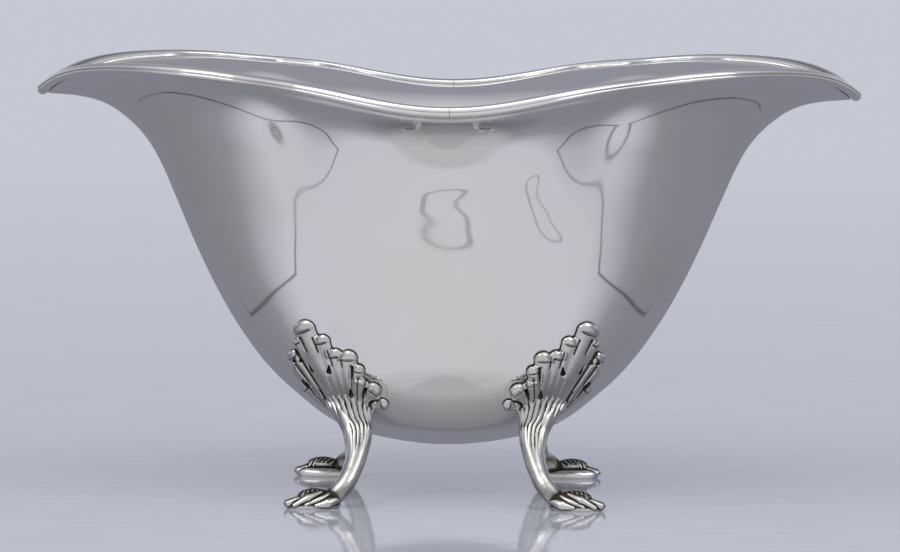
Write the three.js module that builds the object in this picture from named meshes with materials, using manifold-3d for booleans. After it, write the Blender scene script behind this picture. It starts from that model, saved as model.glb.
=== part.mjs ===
// Footed silver bonbon bowl: a raised oval bowl with a flared, undulating lip, a moulded wire
// soldered on the lip in two halves, and four cast legs with leaf caps and leaf-shaped feet.
// Millimetres, +Z up, +X along the length, origin on the table under the middle of the bowl.
import * as THREE from "three";
import { mergeVertices } from "three/addons/utils/BufferGeometryUtils.js";
import Module from "manifold-3d";

const wasm = await Module();
wasm.setup();
const { clamp, smoothstep, degToRad } = THREE.MathUtils;

const CLEARANCE = 0.3; // between neighbouring pieces, where the solder lies

// Bowl
const BOWL_LENGTH = 175.2; // sheet only, from lip to lip
const BOWL_WIDTH = 125.2;
const BOWL_DEPTH = 77.0; // from the underside of the bottom to the lip at its two ends
const TABLE_GAP = 10.8; // under the bottom
const WALL = 0.9;

// Half of the bowl's upright outline: share of the depth, of the half length and of the half width
const STATIONS = [
  [0.0, 0.0, 0.0],
  [0.019, 0.15, 0.158],
  [0.063, 0.277, 0.29],
  [0.148, 0.379, 0.4],
  [0.234, 0.456, 0.479],
  [0.348, 0.529, 0.554],
  [0.462, 0.586, 0.61],
  [0.577, 0.634, 0.656],
  [0.691, 0.676, 0.698],
  [0.806, 0.72, 0.744],
  [0.877, 0.757, 0.795],
  [0.931, 0.803, 0.853],
  [0.972, 0.857, 0.913],
  [0.992, 0.92, 0.957],
  [1.0, 1.0, 1.0],
];

// Lip: low at the middle of the sides, high at four shoulders, drooping at the two ends
const SIDE_DIP = 1.7;
const SHOULDER_RISE = 7.5;
const END_DROOP = 6.4;
const SHOULDER_SPREAD = 0.36; // share of the half length over which the lip rises
const DROOP_POWER = 14; // how late the end droops
const WAVE_START = 0.45; // share of the depth above which the walls follow the lip
const END_PINCH = 0.3; // how much narrower than a plain oval the lip is at its ends
const NICK_DEPTH = 0.06; // shallow inward corner at each shoulder, as a share of the width
const NICK_DIP = 0.5;
const NICK_PLACE = 0.5;
const NICK_SPREAD = 0.13;

// Moulded wire: a large outer bead and a small inner reed
const BEAD_RADIUS = 1.15;
const BEAD_REACH = 1.25; // bead centre, out from the edge of the sheet
const BEAD_RISE = 0.85; // bead centre, above the underside of the sheet
const REED_RADIUS = 0.6;
const REED_SETBACK = 1.0; // reed centre, in from the edge of the sheet

// Legs, in the quarter where x and y are positive; the other three are mirrored
const NECK_X = 18.5;
const NECK_RISE = 5.0; // above the bottom of the bowl
const NECK_STAND_OFF = 0.9; // outward from the root of the leaf
const NECK_WIDTH = 6.6;
const NECK_DEPTH = 4.6;
const ROOT_OUT = 2.1; // where the neck spreads into the leaf, from the neck
const ROOT_UP = 6.4;
const ROOT_WIDTH = 11.5;
const ROOT_DEPTH = 3.4;
const LEAF_THICKNESS = 1.4;
const SHIN_OUT = 0.4;
const SHIN_WIDTH = 5.5;
const ANKLE_OUT = -0.8; // from the heel
const ANKLE_HEIGHT = 5.4;
const ANKLE_WIDTH = 4.8;
const ANKLE_DEPTH = 4.4;
const INSTEP_WIDTH = 4.3;
const INSTEP_DEPTH = 2.5;
const FOOT_SPLAY = 9.5; // feet further out than the necks, across the bowl
const FOOT_TURN = degToRad(6);
const HEEL_X = 22.1;
const FOOT_LENGTH = 12.6;
const FOOT_WIDTH = 6.6;
const FOOT_HEIGHT = 3.1;
const DOME_LENGTH = 8.8;
const DOME_WIDTH = 5.2;
const DOME_RISE = 1.4; // of the leafy dome above the foot

// Leaf lobes round the edge, from the lowest inner one over the tip to the lowest outer one:
// outward and upward from the neck, and radius
const LEAF_LOBES = [
  [-5.0, 5.6, 1.6],
  [-3.1, 9.7, 1.9],
  [0.4, 13.9, 1.3],
  [2.3, 16.9, 1.7],
  [5.2, 17.4, 1.5],
  [8.0, 20.5, 1.5],
  [12.0, 22.9, 1.9],
  [13.4, 19.6, 1.1],
  [14.7, 16.3, 1.5],
  [13.4, 12.8, 1.3],
  [11.6, 9.0, 1.2],
];

// Fineness
const AROUND = 76; // facets round the bowl
const LEVELS = 17; // facets up its wall
const WIRE_STEPS = 30; // facets along each half of the wire
const TUBE_SIDES = 10;
const TUBE_STEPS = 11;
const LEAF_EDGE = 28; // points round the leaf
const LEG_LEVELS = 12; // levels of the wall that the legs lie against

// Surfaces

// Joins rings of points into one closed surface; each end is closed to a middle point, or by the
// triangles of its own outline.
function loft(rings, { start, end, cap }) {
  const sides = rings[0].length;
  const points = rings.flat();
  const faces = [];
  for (let row = 0; row + 1 < rings.length; row++) {
    for (let i = 0; i < sides; i++) {
      const a = row * sides + i;
      const b = row * sides + ((i + 1) % sides);
      faces.push([a, b, b + sides], [a, b + sides, a + sides]);
    }
  }
  const last = (rings.length - 1) * sides;
  if (cap) {
    for (const [a, b, c] of cap) {
      faces.push([c, b, a], [last + a, last + b, last + c]);
    }
  } else {
    points.push(start, end);
    for (let i = 0; i < sides; i++) {
      const next = (i + 1) % sides;
      faces.push([next, i, points.length - 2], [last + i, last + next, points.length - 1]);
    }
  }
  return new THREE.BufferGeometry().setFromPoints(points).setIndex(faces.flat());
}

// A closed geometry as a solid, with its faces turned outward.
function solidOf(geometry) {
  const bare = geometry.clone().deleteAttribute("normal").deleteAttribute("uv");
  const merged = mergeVertices(bare, 1e-4);
  const vertProperties = new Float32Array(merged.attributes.position.array);
  const triVerts = new Uint32Array(merged.index.array);
  const made = new wasm.Manifold(new wasm.Mesh({ numProp: 3, vertProperties, triVerts }));
  if (made.volume() > 0) return made;
  triVerts.reverse();
  return new wasm.Manifold(new wasm.Mesh({ numProp: 3, vertProperties, triVerts }));
}

function geometryOf(solid) {
  const { vertProperties, triVerts } = solid.getMesh();
  const geometry = new THREE.BufferGeometry()
    .setAttribute("position", new THREE.BufferAttribute(vertProperties, 3))
    .setIndex(new THREE.BufferAttribute(triVerts, 1));
  geometry.computeVertexNormals();
  return geometry;
}

// Bowl

// The outline continues mirrored below its first station, so that the bottom is round.
const outline = new THREE.CatmullRomCurve3(
  [[STATIONS[1][0], -STATIONS[1][1], -STATIONS[1][2]], ...STATIONS].map(
    ([depth, length, width]) => new THREE.Vector3(length, width, depth),
  ),
  false,
  "catmullrom",
);

// Shares of the half length, half width and depth at a level from 0, the bottom, to 1, the lip.
const outlineAt = (level) =>
  outline.getPoint((1 + level * (STATIONS.length - 1)) / STATIONS.length);

// A point on the outside of the bowl.
function skin(turn, level) {
  const share = outlineAt(level);
  const reach = Math.abs(Math.cos(turn));
  const follow = smoothstep(share.z, WAVE_START, 1);
  const nick = Math.exp(-(((reach - NICK_PLACE) / NICK_SPREAD) ** 2));
  const narrow = 1 - follow ** 2 * (END_PINCH * reach ** 2 + NICK_DEPTH * nick);
  const rise = SHOULDER_RISE * (1 - Math.exp(-((reach / SHOULDER_SPREAD) ** 2)));
  const lift = rise - SIDE_DIP - NICK_DIP * nick - END_DROOP * reach ** DROOP_POWER;
  return new THREE.Vector3(
    (BOWL_LENGTH / 2) * share.x * Math.cos(turn),
    (BOWL_WIDTH / 2) * share.y * narrow * Math.sin(turn),
    TABLE_GAP + BOWL_DEPTH * share.z + follow * lift,
  );
}

// The same, moved outward square to the surface.
function skinOffset(turn, level, out) {
  const point = skin(turn, level);
  const step = 1e-3;
  if (level < step) return point.setZ(point.z - out);
  const along = skin(turn + step, level).sub(skin(turn - step, level));
  const up = skin(turn, Math.min(level + step, 1)).sub(skin(turn, level - step));
  return point.addScaledVector(along.cross(up).normalize(), out);
}

function bowlRings(levels, out) {
  const turns = Array.from({ length: AROUND }, (_, i) => (2 * Math.PI * i) / AROUND);
  return levels.map((level) => turns.map((turn) => skinOffset(turn, level / LEVELS, out)));
}

function bowlBody() {
  const levels = Array.from({ length: LEVELS }, (_, i) => i + 1);
  const rings = [...bowlRings(levels, 0), ...bowlRings(levels.reverse(), -WALL)];
  return loft(rings, { start: skinOffset(0, 0, 0), end: skinOffset(0, 0, -WALL) });
}

// The room that the lower bowl takes, with the clearance round it.
function bowlRoom() {
  const levels = Array.from({ length: LEG_LEVELS }, (_, i) => i + 1);
  const rings = bowlRings(levels, CLEARANCE);
  const top = new THREE.Vector3(0, 0, rings.at(-1)[0].z);
  return solidOf(loft(rings, { start: skinOffset(0, 0, CLEARANCE), end: top }));
}

// Moulded wire

function arc(out, up, radius, from, to, steps) {
  return Array.from({ length: steps + 1 }, (_, i) => {
    const angle = degToRad(from + ((to - from) * i) / steps);
    return new THREE.Vector2(out + radius * Math.cos(angle), up + radius * Math.sin(angle));
  });
}

// Outward and upward from the lower edge of the sheet, with a rebate that the edge sits in.
function wireSection() {
  const seat = WALL + CLEARANCE;
  return [
    ...arc(BEAD_REACH, BEAD_RISE, BEAD_RADIUS, -145, 125, 9),
    new THREE.Vector2((BEAD_REACH - BEAD_RADIUS) / 2, seat + REED_RADIUS / 2),
    ...arc(-REED_SETBACK, seat + REED_RADIUS / 2, REED_RADIUS, 40, 190, 5),
    new THREE.Vector2(-REED_SETBACK - REED_RADIUS, seat),
    new THREE.Vector2(CLEARANCE, seat),
  ];
}

// The half on the +X side; its ends stop half a clearance short of the seams.
function rimWire() {
  const section = wireSection();
  const cap = THREE.ShapeUtils.triangulateShape(section, []);
  const seam = CLEARANCE / BOWL_LENGTH;
  const end = Math.PI / 2 - seam;
  const step = 1e-3;
  const rings = Array.from({ length: WIRE_STEPS + 1 }, (_, i) => {
    const turn = -end + (2 * end * i) / WIRE_STEPS;
    const along = skin(turn + step, 1).sub(skin(turn - step, 1)).normalize();
    const outward = new THREE.Vector3(along.y, -along.x, 0).normalize();
    const upward = new THREE.Vector3().crossVectors(outward, along);
    return section.map(({ x, y }) =>
      skin(turn, 1).addScaledVector(outward, x).addScaledVector(upward, y),
    );
  });
  return geometryOf(solidOf(loft(rings, { cap })));
}

// Legs

// The point that lies over the bowl's outside at this place across and this height.
function onBowl(x, z, out) {
  const depth = (z - TABLE_GAP) / BOWL_DEPTH;
  let low = 0;
  let high = 1;
  for (let i = 0; i < 30; i++) {
    const middle = (low + high) / 2;
    if (outlineAt(middle).z < depth) low = middle;
    else high = middle;
  }
  const halfLength = (outlineAt(low).x * BOWL_LENGTH) / 2;
  return skinOffset(Math.acos(clamp(x / halfLength, 0, 0.999)), low, out);
}

const NECK_Z = TABLE_GAP + NECK_RISE;
const root = onBowl(NECK_X + ROOT_OUT, NECK_Z + ROOT_UP, CLEARANCE);
const neck = new THREE.Vector3(NECK_X, root.y + NECK_STAND_OFF, NECK_Z);
const footMiddle = new THREE.Vector3(HEEL_X + FOOT_LENGTH / 2, neck.y + FOOT_SPLAY, 0);
const ankle = new THREE.Vector3(HEEL_X + ANKLE_OUT, footMiddle.y - ANKLE_WIDTH / 3, ANKLE_HEIGHT);
const instep = new THREE.Vector3(HEEL_X + ANKLE_WIDTH / 2, footMiddle.y, FOOT_HEIGHT / 2);
const shin = new THREE.Vector3(
  NECK_X + SHIN_OUT,
  (neck.y + ankle.y) / 2,
  (neck.z + ankle.z) / 2,
);

// Neck, shin and ankle as one tapering stem.
function stem() {
  const spine = new THREE.CatmullRomCurve3([root, neck, shin, ankle, instep]);
  const sizes = new THREE.CatmullRomCurve3([
    new THREE.Vector3(ROOT_WIDTH, ROOT_DEPTH),
    new THREE.Vector3(NECK_WIDTH, NECK_DEPTH),
    new THREE.Vector3(SHIN_WIDTH, NECK_DEPTH),
    new THREE.Vector3(ANKLE_WIDTH, ANKLE_DEPTH),
    new THREE.Vector3(INSTEP_WIDTH, INSTEP_DEPTH),
  ]);
  const rings = Array.from({ length: TUBE_STEPS + 1 }, (_, i) => {
    const place = i / TUBE_STEPS;
    const middle = spine.getPoint(place);
    const down = spine.getTangent(place);
    const across = new THREE.Vector3(0, 1, 0).cross(down).normalize();
    const deep = new THREE.Vector3().crossVectors(down, across);
    const size = sizes.getPoint(place);
    return Array.from({ length: TUBE_SIDES }, (_, side) => {
      const angle = (2 * Math.PI * side) / TUBE_SIDES;
      return middle
        .clone()
        .addScaledVector(across, (size.x / 2) * Math.cos(angle))
        .addScaledVector(deep, (size.y / 2) * Math.sin(angle));
    });
  });
  return solidOf(loft(rings, { start: root, end: instep }));
}

// The leaf as a plate bent over the bowl, from the neck to its ring of lobes. It starts inside
// the bowl's room and is cut back with the rest.
function leafPlate() {
  const low = NECK_Z + NECK_WIDTH / 2;
  const edge = new THREE.CatmullRomCurve3(
    [
      new THREE.Vector3(NECK_X - NECK_WIDTH / 2, 0, low),
      ...LEAF_LOBES.map(([out, up]) => new THREE.Vector3(NECK_X + out, 0, NECK_Z + up)),
      new THREE.Vector3(NECK_X + ROOT_OUT + NECK_WIDTH / 2, 0, low),
    ],
    true,
  ).getPoints(LEAF_EDGE);
  edge.pop();
  const middle = edge.reduce((sum, p) => sum.add(p), new THREE.Vector3()).divideScalar(edge.length);
  const over = (p, out) => onBowl(p.x, p.z, out);
  const ring = (share, out) => edge.map((p) => over(middle.clone().lerp(p, share), out));
  const top = CLEARANCE + LEAF_THICKNESS;
  const rings = [ring(0.6, top), ring(1, top - LEAF_THICKNESS / 3), ring(1, -WALL), ring(0.6, -WALL)];
  return solidOf(loft(rings, { start: over(middle, top), end: over(middle, -WALL) }));
}

function lobe([out, up, radius]) {
  const place = onBowl(NECK_X + out, NECK_Z + up, CLEARANCE + LEAF_THICKNESS / 2);
  return solidOf(new THREE.SphereGeometry(radius, 8, 6).translate(place.x, place.y, place.z));
}

// Flat-soled pad with the leafy dome on its instep.
function foot() {
  const profile = [
    [0, 0],
    [0.84, 0],
    [1, 0.3],
    [0.96, 0.65],
    [0.7, 0.93],
    [0, 1],
  ].map(([out, up]) => new THREE.Vector2(out, up));
  const pad = new THREE.LatheGeometry(profile, 16)
    .rotateX(Math.PI / 2)
    .scale(FOOT_LENGTH / 2, FOOT_WIDTH / 2, FOOT_HEIGHT);
  const sunk = DOME_RISE / 4;
  const dome = new THREE.SphereGeometry(1, 10, 6)
    .scale(DOME_LENGTH / 2, DOME_WIDTH / 2, DOME_RISE + sunk)
    .translate(0, 0, FOOT_HEIGHT - sunk);
  const place = (shape) =>
    solidOf(shape.rotateZ(FOOT_TURN).translate(footMiddle.x, footMiddle.y, 0));
  return place(pad).add(place(dome));
}

function leg() {
  const whole = [leafPlate(), foot(), ...LEAF_LOBES.map(lobe)].reduce(
    (sum, piece) => sum.add(piece),
    stem(),
  );
  return geometryOf(whole.subtract(bowlRoom()));
}

// Assembly

function piece(name, geometry, color, roughness) {
  const material = new THREE.MeshStandardMaterial({ color, roughness, metalness: 1 });
  const mesh = new THREE.Mesh(geometry, material);
  mesh.name = name;
  return mesh;
}

const bonbonBowl = new THREE.Group();
bonbonBowl.add(piece("bowl_body", geometryOf(solidOf(bowlBody())), 0xc4c6c9, 0.16));

const wire = rimWire();
for (const [side, turned] of [["right", 0], ["left", Math.PI]]) {
  const half = piece("rim_wire_" + side, wire, 0xcfcfca, 0.14);
  half.rotation.z = turned;
  bonbonBowl.add(half);
}

const cast = leg();
for (const [end, y] of [["front", -1], ["back", 1]]) {
  for (const [side, x] of [["left", -1], ["right", 1]]) {
    const one = piece("leg_" + end + "_" + side, cast, 0xb9b8b2, 0.24);
    one.scale.set(x, y, 1);
    bonbonBowl.add(one);
  }
}

export default bonbonBowl;
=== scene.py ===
import math

import bpy
import numpy as np
import openvdb
from mathutils import Matrix, Vector


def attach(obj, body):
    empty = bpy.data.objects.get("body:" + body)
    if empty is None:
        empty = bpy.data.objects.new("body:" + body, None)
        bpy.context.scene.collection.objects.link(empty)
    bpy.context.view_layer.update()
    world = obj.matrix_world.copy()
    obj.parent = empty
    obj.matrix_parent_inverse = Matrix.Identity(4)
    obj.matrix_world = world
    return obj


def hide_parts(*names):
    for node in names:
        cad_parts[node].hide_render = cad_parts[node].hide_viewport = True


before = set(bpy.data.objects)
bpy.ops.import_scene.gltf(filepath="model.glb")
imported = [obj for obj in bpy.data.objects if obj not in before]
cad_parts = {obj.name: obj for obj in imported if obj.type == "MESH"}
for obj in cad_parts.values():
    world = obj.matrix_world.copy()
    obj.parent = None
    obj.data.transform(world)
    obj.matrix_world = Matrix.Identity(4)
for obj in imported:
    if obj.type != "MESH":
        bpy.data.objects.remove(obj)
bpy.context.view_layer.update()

# Shapes are worked out in millimetres, in the frame of the solids, and turned to metres at the end
MM = 0.001

# Bowl: overall sizes, and shares of its depth, half length and half width up its outline
BOWL_LENGTH = 175.2
BOWL_WIDTH = 125.2
BOWL_DEPTH = 77.0
TABLE_GAP = 10.8
WALL = 0.9
STATIONS = np.array(
    [
        (0.0, 0.0, 0.0),
        (0.019, 0.15, 0.158),
        (0.063, 0.277, 0.29),
        (0.148, 0.379, 0.4),
        (0.234, 0.456, 0.479),
        (0.348, 0.529, 0.554),
        (0.462, 0.586, 0.61),
        (0.577, 0.634, 0.656),
        (0.691, 0.676, 0.698),
        (0.806, 0.72, 0.744),
        (0.877, 0.757, 0.795),
        (0.931, 0.803, 0.853),
        (0.972, 0.857, 0.913),
        (0.992, 0.92, 0.957),
        (1.0, 1.0, 1.0),
    ]
)

# Lip
SIDE_DIP = 1.7
SHOULDER_RISE = 7.5
END_DROOP = 6.4
SHOULDER_SPREAD = 0.36
DROOP_POWER = 14
WAVE_START = 0.45
END_PINCH = 0.3
NICK_DEPTH = 0.06
NICK_DIP = 0.5
NICK_PLACE = 0.5
NICK_SPREAD = 0.13

# Light hammer work on the sheet: length, depth and number of the waves of each kind
HAMMER_WAVES = ((46, 0.05, 6), (24, 0.028, 8), (11, 0.014, 10))
HAMMER_STRETCH = (0.8, 1.25)
HAMMER_SEED = 3

# Moulded wire: angles in degrees round its section, from the outer side
CLEARANCE = 0.3
BEAD_RADIUS = 1.15
BEAD_REACH = 1.25
BEAD_RISE = 0.85
REED_RADIUS = 0.6
REED_SETBACK = 1.0
BEAD_ARC = (-145, 128)
BEAD_STEPS = 68
REED_ARC = (20, 200)
REED_STEPS = 22
REED_FADE = 30
BEAD_FADES = (30, 23)
SHEET_SLOPE = 0.4
SEAT_LIFT = 0.02
NOTCH_ANGLE = -4
NOTCH_WIDTH = 10
NOTCH_DEPTH = 0.17
NOTCH_DARKNESS = 0.7
SEAM_GAP = 0.1
SEAM_SLANT = 0.3
SEAM_LENGTH = 0.06

# Fineness
AROUND = 320
UP_THE_WALL = 96
WIRE_STEPS = 240
OUTLINE_STEPS = 400
VOXEL = 0.13
LEG_FACES_KEPT = 0.34
TURN_STEP = 1e-3
PROBE_STEP = 0.05
TINY = 1e-6
SHEET_CREASE = 40
WIRE_CREASE = 50
LEG_CREASE = 60


# Meshes


def placed(name, data):
    """A new object in the scene."""
    made = bpy.data.objects.new(name, data)
    bpy.context.scene.collection.objects.link(made)
    return made


def mesh_piece(name, points, faces, recess=None, crease=SHEET_CREASE):
    """A smooth-shaded object from points in millimetres, with edges sharper than the crease kept."""
    mesh = bpy.data.meshes.new(name)
    mesh.from_pydata((np.asarray(points) * MM).tolist(), [], faces)
    mesh.validate()
    if recess is not None:
        held = mesh.attributes.new("Recess", "FLOAT", "POINT")
        held.data.foreach_set("value", recess.astype(np.float32))
    mesh.shade_smooth()
    mesh.set_sharp_from_angle(angle=math.radians(crease))
    return placed(name, mesh)


def unit(vectors):
    """Vectors made 1 long."""
    return vectors / np.linalg.norm(vectors, axis=-1, keepdims=True)


def smoothstep(value, low, high):
    """From 0 at low to 1 at high, with soft ends."""
    share = np.clip((value - low) / (high - low), 0, 1)
    return share * share * (3 - 2 * share)


def between(before, start, end, after, share):
    """A place on the smooth line from start to end, between the knots on either side of them."""
    leave = (end - before) / 2
    arrive = (after - start) / 2
    cubic = 2 * start - 2 * end + leave + arrive
    square = -3 * start + 3 * end - 2 * leave - arrive
    return ((cubic * share + square) * share + leave) * share + start


def ring_faces(rings, sides):
    """Faces between closed rings of points that follow each other."""
    faces = []
    for row in range(rings - 1):
        for i in range(sides):
            a = row * sides + i
            b = row * sides + (i + 1) % sides
            faces.append((a, b, b + sides, a + sides))
    return faces


# Bowl surface


def outline_at(level):
    """Shares of depth, half length and half width at a level from 0, the bottom, to 1, the lip."""
    mirrored = STATIONS[1] * (1, -1, -1)
    beyond = 2 * STATIONS[-1] - STATIONS[-2]
    knots = np.vstack([mirrored, STATIONS, beyond])
    place = np.clip(level, 0, 1) * (len(STATIONS) - 1)
    index = np.minimum(place.astype(int), len(STATIONS) - 2)
    share = (place - index)[..., None]
    return between(*(knots[index + i] for i in range(4)), share)


def skin(turn, level):
    """Points on the outside of the bowl."""
    depth, length, width = np.moveaxis(outline_at(level), -1, 0)
    reach = np.abs(np.cos(turn))
    follow = smoothstep(depth, WAVE_START, 1)
    nick = np.exp(-(((reach - NICK_PLACE) / NICK_SPREAD) ** 2))
    narrow = 1 - follow**2 * (END_PINCH * reach**2 + NICK_DEPTH * nick)
    rise = SHOULDER_RISE * (1 - np.exp(-((reach / SHOULDER_SPREAD) ** 2)))
    lift = rise - SIDE_DIP - NICK_DIP * nick - END_DROOP * reach**DROOP_POWER
    x = BOWL_LENGTH / 2 * length * np.cos(turn)
    y = BOWL_WIDTH / 2 * width * narrow * np.sin(turn)
    z = TABLE_GAP + BOWL_DEPTH * depth + follow * lift
    return np.stack([x, y, z], -1)


def skin_normal(turn, level):
    """The way straight out of the bowl."""
    along = skin(turn + TURN_STEP, level) - skin(turn - TURN_STEP, level)
    up = skin(turn, np.minimum(level + TURN_STEP, 1)) - skin(turn, level - TURN_STEP)
    return unit(np.cross(along, up))


def planished(points):
    """How far light hammer work moves the sheet at each point, in millimetres."""
    random = np.random.default_rng(HAMMER_SEED)
    moved = np.zeros(points.shape[:-1])
    for length, depth, count in HAMMER_WAVES:
        for _ in range(count):
            way = unit(random.normal(size=3))
            phase = random.uniform(0, 2 * math.pi)
            stretch = random.uniform(*HAMMER_STRETCH)
            moved += depth / count * 2 * np.sin(points @ way * 2 * math.pi / (length * stretch) + phase)
    return moved


def bowl_piece():
    """The raised sheet: its outside, its inside and the round edge of the lip."""
    turns = np.arange(AROUND) * 2 * math.pi / AROUND
    levels = np.linspace(0, 1, UP_THE_WALL + 1)[1:]
    turn, level = np.meshgrid(turns, levels)
    outside = skin(turn, level)
    normal = skin_normal(turn, level)
    outside = outside + normal * planished(outside)[..., None]
    inside = outside - normal * WALL
    rings = np.concatenate([outside, inside[::-1]])
    faces = ring_faces(len(rings), AROUND)
    points = list(rings.reshape(-1, 3))
    bottom = len(points)
    last = bottom - AROUND
    for ring, height in ((outside[0], TABLE_GAP), (inside[0], TABLE_GAP + WALL)):
        points.append(ring.mean(0) * (1, 1, 0) + (0, 0, height))
    for i in range(AROUND):
        after = (i + 1) % AROUND
        faces.append((after, i, bottom))
        faces.append((last + i, last + after, bottom + 1))
    return mesh_piece("bowl_sheet", points, faces)


# Moulded wire


def arc(out, up, radius, start, end, steps):
    """Points on a round stretch of the wire's section."""
    angles = np.radians(np.linspace(start, end, steps + 1))
    return np.stack([out + radius * np.cos(angles), up + radius * np.sin(angles)], -1)


def wire_section():
    """Outward and upward from the lower edge of the sheet, and how deep in a groove each point is."""
    seat = WALL + CLEARANCE
    start, end = BEAD_ARC
    angles = np.linspace(start, end, BEAD_STEPS + 1)
    notch = np.exp(-(((angles - NOTCH_ANGLE) / NOTCH_WIDTH) ** 2))
    bead = arc(BEAD_REACH, BEAD_RISE, BEAD_RADIUS - NOTCH_DEPTH * notch, start, end, BEAD_STEPS)
    valley = np.array([((BEAD_REACH - BEAD_RADIUS) / 2, seat + REED_RADIUS / 5)])
    reed = arc(-REED_SETBACK, seat + REED_RADIUS / 10, REED_RADIUS, *REED_ARC, REED_STEPS)
    inner_seat = (-REED_SETBACK - REED_RADIUS, WALL - SHEET_SLOPE)
    outer_seat = (SEAT_LIFT, WALL + SEAT_LIFT)
    section = np.concatenate([bead, valley, reed, np.array([inner_seat, outer_seat])])
    below = 1 - smoothstep(angles, start, start + BEAD_FADES[0])
    above = smoothstep(angles, end - BEAD_FADES[1], end)
    aside = np.linspace(*REED_ARC, REED_STEPS + 1)
    groove = np.zeros(len(section))
    groove[: len(bead)] = NOTCH_DARKNESS * notch + above + below
    groove[len(bead)] = 1
    groove[len(bead) + 1 : -2] = 1 - smoothstep(aside, REED_ARC[0], REED_ARC[0] + REED_FADE)
    return section, groove


def wire_piece(name, turned):
    """Half of the moulded wire, laid along the lip, with its two slanted seams."""
    section, groove = wire_section()
    seam = SEAM_GAP / BOWL_LENGTH
    end = math.pi / 2 - seam
    turn = np.linspace(-end, end, WIRE_STEPS + 1)
    lean = SEAM_SLANT / (BOWL_LENGTH / 2) * (1 - smoothstep(np.abs(np.abs(turn) - end), 0, SEAM_LENGTH))
    turns = turn[:, None] + lean[:, None] * section[None, :, 0]
    lip = np.ones_like(turns)
    edge = skin(turns, lip)
    along = unit(skin(turns + TURN_STEP, lip) - skin(turns - TURN_STEP, lip))
    outward = unit(np.stack([along[..., 1], -along[..., 0], np.zeros_like(lip)], -1))
    upward = np.cross(outward, along)
    points = edge + outward * section[None, :, :1] + upward * section[None, :, 1:]
    points = points * (turned, turned, 1)
    sides = len(section)
    faces = ring_faces(len(turn), sides)
    last = (len(turn) - 1) * sides
    faces.append(tuple(range(sides - 1, -1, -1)))
    faces.append(tuple(range(last, last + sides)))
    dark = np.tile(groove, len(turn))
    return mesh_piece(name, points.reshape(-1, 3), faces, dark, WIRE_CREASE)


# Cast legs, in the quarter where x and y are positive


class Casting:
    """A solid kept as distances from its surface on a block of points, so that forms melt."""

    FAR = 2.0
    MARGIN = 0.5

    def __init__(self, low, high):
        self.low = np.array(low, float)
        self.count = np.ceil((np.array(high) - self.low) / VOXEL).astype(int) + 1
        self.axes = [self.low[i] + VOXEL * np.arange(self.count[i]) for i in range(3)]
        self.depth = np.full(self.count, self.FAR, np.float32)

    def window(self, low, high):
        """The part of the block between two corners, and the places of its points."""
        first = np.clip(np.floor((np.array(low) - self.low) / VOXEL).astype(int), 0, self.count - 1)
        last = np.clip(np.ceil((np.array(high) - self.low) / VOXEL).astype(int) + 1, 1, self.count)
        part = tuple(slice(a, b) for a, b in zip(first, last))
        grid = np.meshgrid(*[self.axes[i][part[i]] for i in range(3)], indexing="ij", sparse=True)
        return part, [axis.astype(np.float32) for axis in grid]

    def join(self, part, distance, blend):
        held = self.depth[part]
        near = np.maximum(blend - np.abs(held - distance), 0) / blend
        self.depth[part] = np.minimum(held, distance) - near * near * blend / 4

    def reach(self, points, radii, blend):
        margin = np.max(radii) + blend + self.MARGIN
        return np.min(points, 0) - margin, np.max(points, 0) + margin

    def run(self, points, radii, blend):
        """A round bar along points, with a radius at each."""
        points = np.asarray(points, float)
        radii = np.asarray(radii, float)
        whole, _ = self.window(*self.reach(points, radii, blend))
        bar = np.full([side.stop - side.start for side in whole], self.FAR, np.float32)
        for a, b, ra, rb in zip(points[:-1], points[1:], radii[:-1], radii[1:]):
            part, grid = self.window(*self.reach([a, b], [ra, rb], blend))
            x, y, z = (axis - start for axis, start in zip(grid, a))
            way = b - a
            share = np.clip((x * way[0] + y * way[1] + z * way[2]) / max(way @ way, TINY), 0, 1)
            apart = np.sqrt(sum((axis - share * step) ** 2 for axis, step in zip((x, y, z), way)))
            inner = tuple(slice(p.start - w.start, p.stop - w.start) for p, w in zip(part, whole))
            bar[inner] = np.minimum(bar[inner], apart - (ra + share * (rb - ra)))
        self.join(whole, bar, blend)

    def ball(self, centre, radii, blend, turn):
        """An egg shape with three half sizes, turned about the upright axis."""
        centre = np.asarray(centre, float)
        radii = np.asarray(radii, float)
        part, (x, y, z) = self.window(*self.reach([centre], [radii.max()], blend))
        across = (x - centre[0]) * math.cos(turn) + (y - centre[1]) * math.sin(turn)
        along = -(x - centre[0]) * math.sin(turn) + (y - centre[1]) * math.cos(turn)
        ways = (across, along, z - centre[2])
        size = np.sqrt(sum((way / radius) ** 2 for way, radius in zip(ways, radii)))
        slope = np.sqrt(sum((way / radius**2) ** 2 for way, radius in zip(ways, radii)))
        self.join(part, size * (size - 1) / np.maximum(slope, TINY), blend)

    def surface(self):
        """The skin of the solid, as points and faces."""
        band = 3 * VOXEL
        field = np.clip(self.depth, -band, band).astype(np.float32)
        volume = openvdb.FloatGrid(background=band)
        volume.copyFromArray(field, tolerance=TINY)
        points, quads = volume.convertToQuads(isovalue=0.0)
        return points * VOXEL + self.low, quads


# The bowl's outline for the legs to follow, its lip left level, and the lowest height that is used
OUTLINE = outline_at(np.linspace(0, 1, OUTLINE_STEPS))
HEIGHTS = TABLE_GAP + BOWL_DEPTH * OUTLINE[:, 0]
HALF_LENGTHS = BOWL_LENGTH / 2 * OUTLINE[:, 1]
HALF_WIDTHS = BOWL_WIDTH / 2 * OUTLINE[:, 2]
LOWEST = TABLE_GAP + 0.3


def swell(x, y, z):
    """Above 0 outside the bowl and below 0 inside, as a share of its half sizes."""
    height = np.maximum(z, LOWEST)
    half_length = np.interp(height, HEIGHTS, HALF_LENGTHS)
    half_width = np.interp(height, HEIGHTS, HALF_WIDTHS)
    return np.sqrt((x / half_length) ** 2 + (y / half_width) ** 2) - 1


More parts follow.
